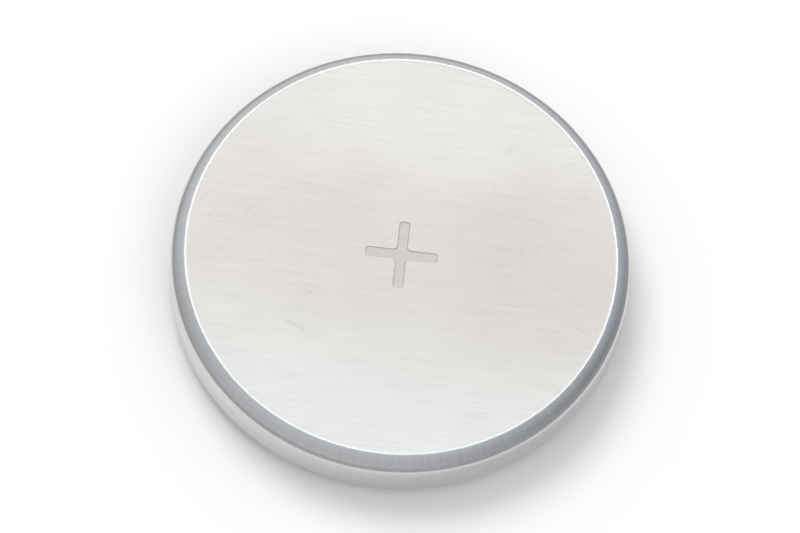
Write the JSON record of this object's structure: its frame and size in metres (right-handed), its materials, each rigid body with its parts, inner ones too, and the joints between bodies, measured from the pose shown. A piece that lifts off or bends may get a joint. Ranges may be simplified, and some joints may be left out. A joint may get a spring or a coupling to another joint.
{
  "type": "lithium coin cell",
  "caption": "Round flat coin cell: a steel can with a rolled rim over a plastic gasket and a pressed negative cap, with electrodes, separator and collector grid inside.",
  "frame": {"origin": "middle of the negative contact face, on which the cell lies", "axes": "+Z along the cell's axis, out of the positive face; the cell is round about +Z"},
  "size_m": [0.02, 0.02, 0.0032],
  "materials": {
    "can_steel": "satin rolled steel",
    "cap_steel": "fine matt pressed steel",
    "gasket_plastic": "moulded polypropylene",
    "lithium": "dull soft metal",
    "nonwoven": "nonwoven polypropylene",
    "pressed_powder": "pressed black powder",
    "grid_steel": "expanded steel mesh"
  },
  "bodies": {
    "root": {"positive_can": "can_steel", "negative_cap": "cap_steel", "gasket": "gasket_plastic", "lithium_anode": "lithium", "separator": "nonwoven", "cathode_pellet": "pressed_powder", "collector_grid": "grid_steel"}
  },
  "joints": []
}
